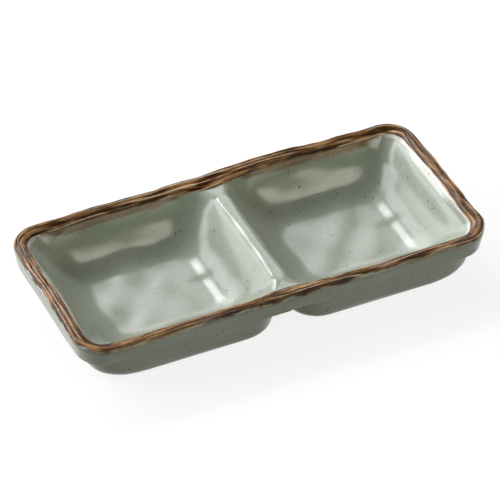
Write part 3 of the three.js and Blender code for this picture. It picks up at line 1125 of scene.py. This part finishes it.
def make_foot(side, sweep, material):
    """A low unglazed ring under a well, with softened edges."""
    left, right, back = foot_low[0], foot_high[0], foot_high[1]
    if side == "right":
        left, right = -right, -left
    plan = Plan(left, right, -back, back, FOOT_CORNER_RADIUS, FOOT_CORNER_RADIUS)
    path = rounded_path(f"{side}_foot_path", plan, 0)
    soft = FOOT_EDGE_RADIUS
    outer = [(0, 0, BASE_LEVEL), (0, 0, soft), (soft, 0, 0)]
    inner = [(FOOT_WIDTH - soft, 0, 0), (FOOT_WIDTH, 0, soft), (FOOT_WIDTH, 0, BASE_LEVEL)]
    section = poly_curve(f"{side}_foot_section", outer + inner)
    return swept_piece(f"{side}_foot_ring_clay", sweep, path, section, {**FOOT_STEPS, "Finish": material})


def sage_group():
    """Sage glaze: cloudy colour with sparse dark specks of iron."""
    t, given, results = new_group(
        "speckled_sage",
        "ShaderNodeTree",
        [
            ("Vector", "Vector", None),
            ("Pale", "Color", SAGE_PALE),
            ("Deep", "Color", SAGE_DEEP),
            ("Speck", "Color", SPECK),
            ("Speck share", "Float", SPECK_SHARES[0]),
        ],
        [("Color", "Color"), ("Height", "Float")],
    )
    place = given["Vector"]
    clouds = t.noise(place, *CLOUDS)
    mottle = t.math("MULTIPLY", t.noise(place, *MOTTLE), MOTTLE_SHARE)
    tone = t.math("MULTIPLY_ADD", clouds, 1 - MOTTLE_SHARE, mottle)
    base = t.colour(t.fade(tone, *SAGE_TONES), given["Deep"], given["Pale"])
    ripple = t.noise(place, *SPECK_RIPPLE, output="Color")
    bent = t.vector("MULTIPLY_ADD", ripple, (SPECK_BEND,) * 3, place)
    spots = t.node("ShaderNodeTexVoronoi", {"Vector": bent, "Scale": SPECK_CELLS}, feature="F1").outputs
    chance, spread, depth = t.node("ShaderNodeSeparateColor", {0: spots["Color"]}).outputs[:3]
    size = t.math("MULTIPLY_ADD", spread, *SPECK_SIZE)
    edges = [t.math("MULTIPLY", size, share) for share in SPECK_EDGE]
    dot = t.fade(spots["Distance"], *edges, 1.0, 0.0)
    chosen = t.math("LESS_THAN", chance, given["Speck share"])
    strength = t.math("MULTIPLY_ADD", depth, *SPECK_STRENGTH)
    mask = t.math("MULTIPLY", t.math("MULTIPLY", dot, chosen), strength)
    t.feed(results["Color"], t.colour(mask, base, given["Speck"]))
    t.feed(results["Height"], clouds)
    return t.tree


def brown_group():
    """Brown slip brushed along the rim: dark in the grooves, golden above, pale on the ridges."""
    t, given, results = new_group(
        "brushed_brown",
        "ShaderNodeTree",
        [
            ("Vector", "Vector", None),
            ("Strand", "Float", 0.5),
            *((name, "Color", colour) for name, colour in SLIP_COLOURS.items()),
        ],
        [("Color", "Color")],
    )
    patches = t.math("MULTIPLY_ADD", t.noise(given["Vector"], *SLIP_PATCHES), *PATCH_TONE)
    shift = t.math("MULTIPLY_ADD", t.noise(given["Vector"], *SLIP_GRAIN), GRAIN_TONE, patches)
    tone = t.math("ADD", given["Strand"], shift)
    colour = given["Dark"]
    for name, limits in SLIP_TONES.items():
        colour = t.colour(t.fade(tone, *limits), colour, given[name])
    t.feed(results["Color"], colour)
    return t.tree


def new_material(name):
    """A material with its tree, its shader and the place on the dish."""
    material = bpy.data.materials.new(name)
    material.use_nodes = True
    t = Tree(material.node_tree)
    shader = next(node for node in t.tree.nodes if node.type == "BSDF_PRINCIPLED")
    place = t.node("ShaderNodeTexCoord").outputs["Object"]
    return material, t, shader, place


def placed(t, group, values):
    return t.node("ShaderNodeGroup", values, node_tree=group).outputs


def inset_limits(half, insets):
    """Distances from the middle of the dish, in metres, for insets from its edge."""
    return [(half - inset) * MM for inset in insets]


def glaze_material(sage, brown):
    """Glossy sage glaze. Its upper edge has a faint brown slip, painted pale at the ends as a highlight
    along the lip.
    """
    material, t, shader, place = new_material("speckled_sage_glaze")
    x, y, _ = t.parts(place)
    share = t.fade(t.math("ABSOLUTE", y), *inset_limits(HALF_WIDTH, OUTER_FACE), *SPECK_SHARES)
    at_end = t.fade(t.math("ABSOLUTE", x), *inset_limits(HALF_LENGTH, DISH_END))
    green = placed(t, sage, {"Vector": place, "Speck share": share})
    slip = placed(t, brown, {"Vector": place, "Strand": WASH_TONE})
    along = t.node("ShaderNodeMapping", {"Vector": place, "Scale": WASH_STRETCH})
    rag = t.math("MULTIPLY_ADD", t.noise(along, *WASH_STREAKS), *WASH_RAG)
    mask = t.fade(t.math("ADD", t.attribute("wash_and_highlight"), rag), *WASH_FADE)
    # At the ends the slip gives way to pale glaze, a painted highlight along the lip
    slip_and_highlight = t.colour(at_end, slip["Color"], THIN_GLAZE_AND_HIGHLIGHT)
    finish = t.colour(mask, green["Color"], slip_and_highlight)
    bump = t.bump(green["Height"], strength=0.08, distance=0.0004)
    t.fill(shader, {"Base Color": finish, "Roughness": 0.21, "Normal": bump})
    return material


def band_material(sage, brown):
    """Brown brushed slip under glaze.

    It is ragged where it gives way to sage on the outer face, pale in worn patches above that edge,
    partly thinly glazed and partly a painted highlight, and has a painted highlight along the lip except at
    the back.
    """
    material, t, shader, place = new_material("brushed_brown_rim")
    green = placed(t, sage, {"Vector": place})
    across = t.attribute("across")
    slip = placed(t, brown, {"Vector": place, "Strand": t.attribute("strand")})
    edge = t.math("MULTIPLY_ADD", t.noise(place, *RAG), RAG_DEPTH, across)
    # Pale fringe in worn patches round the ragged outer edge, partly thinly glazed and partly a painted
    # highlight
    worn = t.fade(t.noise(place, *WEAR), *WORN_PATCHES)
    outer = t.math("MULTIPLY", t.fade(edge, *WORN_START), t.fade(edge, *WORN_END))
    # Painted highlight along the lip, fading out towards the back
    before_back = t.fade(t.parts(place)[1], *inset_limits(HALF_WIDTH, BACK_LIP), *LIP_HIGHLIGHT_SHARES)
    inner = t.math("MULTIPLY", t.fade(across, *LIP_HIGHLIGHT), before_back)
    thin_glaze_and_highlight = t.math("MAXIMUM", t.math("MULTIPLY", outer, worn), inner)
    brushed = t.colour(t.fade(edge, *BROWN_START), green["Color"], slip["Color"])
    finish = t.colour(thin_glaze_and_highlight, brushed, THIN_GLAZE_AND_HIGHLIGHT)
    t.fill(shader, {"Base Color": finish, "Roughness": 0.28, "Specular IOR Level": 0.18})
    return material


def clay_material(sage):
    """Bare fired clay, dry and slightly grainy."""
    material, t, shader, place = new_material("bare_fired_clay")
    body = placed(t, sage, {"Vector": place, "Pale": CLAY_PALE, "Deep": CLAY_DEEP, "Speck share": 0.35})
    bump = t.bump(t.noise(place, *CLAY_GRAIN), strength=0.3, distance=0.0002)
    t.fill(shader, {"Base Color": body["Color"], "Roughness": 0.85, "Normal": bump})
    return material


def empty_tree(owner):
    """The cleared node tree of a material, a world or a lamp."""
    owner.use_nodes = True
    owner.node_tree.nodes.clear()
    return Tree(owner.node_tree)


def show_backdrop(t, output, plain, seen):
    """One shader for light on the dish, and one for rays to the camera, off gloss and through glass."""
    rays = t.node("ShaderNodeLightPath").outputs
    shown = t.math("MAXIMUM", rays["Is Camera Ray"], rays["Is Glossy Ray"])
    shown = t.math("MAXIMUM", shown, rays["Is Transmission Ray"])
    t.node(output, {"Surface": t.node("ShaderNodeMixShader", {0: shown, 1: plain, 2: seen})})


def make_floor():
    """A pale table top that stays white to the camera and keeps the dish's shadow."""
    mesh = bpy.data.meshes.new("floor")
    corners = [(-1, -1), (1, -1), (1, 1), (-1, 1)]
    mesh.from_pydata([(x * TABLE_HALF, y * TABLE_HALF, 0) for x, y in corners], [], [(0, 1, 2, 3)])
    floor = add_object("floor", mesh)
    material = bpy.data.materials.new("pale_table")
    t = empty_tree(material)
    shade = t.node("ShaderNodeBsdfDiffuse", {"Color": TABLE_SEEN})
    glow = t.node("ShaderNodeEmission", {"Color": WHITE, "Strength": TABLE_GLOW})
    white = t.node("ShaderNodeAddShader", {0: shade, 1: glow})
    plain = t.node("ShaderNodeBsdfDiffuse", {"Color": TABLE_DIM})
    show_backdrop(t, "ShaderNodeOutputMaterial", plain, white)
    mesh.materials.append(material)


def make_world():
    """A dim room with a white backdrop, which fades into the dark above it."""
    world = bpy.data.worlds.new("studio")
    bpy.context.scene.world = world
    t = empty_tree(world)
    up = t.parts(t.node("ShaderNodeTexCoord").outputs["Generated"])[2]
    fading = t.fade(up, *BACKDROP_FADE, 1.0, ROOM_GREY)
    room = t.node("ShaderNodeBackground", {"Color": WHITE, "Strength": ROOM_GREY})
    backdrop = t.node("ShaderNodeBackground", {"Color": WHITE, "Strength": fading})
    show_backdrop(t, "ShaderNodeOutputWorld", room, backdrop)


def soften(lamp, soft):
    """Let a lamp's light fade towards its edges, over a share of the way to its middle."""
    t = empty_tree(lamp)
    across = t.parts(t.node("ShaderNodeNewGeometry").outputs["Parametric"])
    shares = [t.fade(t.math("PINGPONG", across[axis], 0.5), 0.0, soft / 2) for axis in (0, 1)]
    light = t.node("ShaderNodeEmission", {"Strength": t.math("MULTIPLY", *shares)})
    t.node("ShaderNodeOutputLight", {"Surface": light})


def softbox(name, azimuth, elevation, wide, high, brightness, tint=(1, 1, 1), soft=0.0):
    """An area lamp that faces the dish, given in degrees as the dish sees it.

    Azimuth is from +Y towards +X. A brightness of 1 shows as white.
    """
    turn, rise = math.radians(azimuth), math.radians(elevation)
    lamp = bpy.data.lights.new(name, "AREA")
    lamp.shape = "RECTANGLE"
    lamp.size = 2 * LAMP_DISTANCE * math.tan(math.radians(wide) / 2) * math.cos(rise)
    lamp.size_y = 2 * LAMP_DISTANCE * math.tan(math.radians(high) / 2)
    lamp.energy = math.pi * lamp.size * lamp.size_y * brightness
    lamp.color = tint
    if soft:
        soften(lamp, soft)
    holder = add_object(name, lamp)
    away = Vector((math.sin(turn) * math.cos(rise), math.cos(turn) * math.cos(rise), math.sin(rise)))
    holder.location = away * LAMP_DISTANCE + Vector((0, 0, RIM_LEVEL * MM))
    holder.rotation_euler = away.to_track_quat("Z", "Y").to_euler()


def make_lights():
    """A bright wall and a window pane behind the dish and to its left, and weak warm light in front."""
    softbox("back_pane", 0, 43, 28, 10.5, 18.5, soft=0.35)
    softbox("back_wall", -9, 29, 26, 20, 5.3)
    softbox("back_sky", 19, 35, 39, 24, 3.8, COOL, soft=0.6)
    softbox("left_window", -66, 10, 34, 22, 8.0, COOL, soft=0.9)
    softbox("left_low", -51, 9, 60, 18, 3.2, COOL)
    softbox("left_high", -51, 33, 60, 26, 5.2, COOL)
    softbox("front_softbox", 150, 46, 27, 27, 6.0, SOFT_WARM, soft=0.45)
    softbox("front_low", 172, 14, 80, 14, 1.25, WARM)


def make_camera():
    """The photograph's viewpoint, given from the middle of the rim."""
    camera = bpy.data.cameras.new("camera")
    camera.lens = VIEW_LENS
    camera.sensor_width = 36
    camera.clip_end = 100
    holder = add_object("camera", camera)
    flat = math.cos(VIEW_ELEVATION)
    right = Vector((math.cos(VIEW_AZIMUTH), math.sin(VIEW_AZIMUTH), 0))
    back = Vector((right.y * flat, -right.x * flat, math.sin(VIEW_ELEVATION)))
    up = back.cross(right)
    place = Vector((0, 0, RIM_LEVEL)) + back * VIEW_DISTANCE + right * VIEW_RIGHT - up * VIEW_DROP
    turn = Matrix((right, up, back)).transposed().to_4x4()
    holder.matrix_world = Matrix.Translation(place * MM) @ turn
    bpy.context.scene.camera = holder


def make_dish():
    """All pieces of the dish, each on its body and in place of its node."""
    sage = sage_group()
    brown = brown_group()
    glaze = glaze_material(sage, brown)
    rim = band_material(sage, brown)
    clay = clay_material(sage)
    bowls = Bowls()
    sweep = sweep_tree()
    pieces = [
        (make_well("left", bowls, glaze), "left_well", "sage_glaze"),
        (make_well("right", bowls, glaze), "right_well", "sage_glaze"),
        (make_frame(bowls, glaze), "rim_frame", "sage_glaze"),
        (make_divider(bowls, glaze), "divider", "sage_glaze"),
        (make_band(sweep, rim), "rim_band", "brown_rim"),
        (make_foot("left", sweep, clay), "left_foot_ring", "bare_clay"),
        (make_foot("right", sweep, clay), "right_foot_ring", "bare_clay"),
    ]
    for piece, node, slot in pieces:
        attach(piece, "root")
        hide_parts(node)


make_camera()
make_dish()
make_floor()
make_world()
make_lights()
bpy.context.scene.view_settings.view_transform = "Standard"
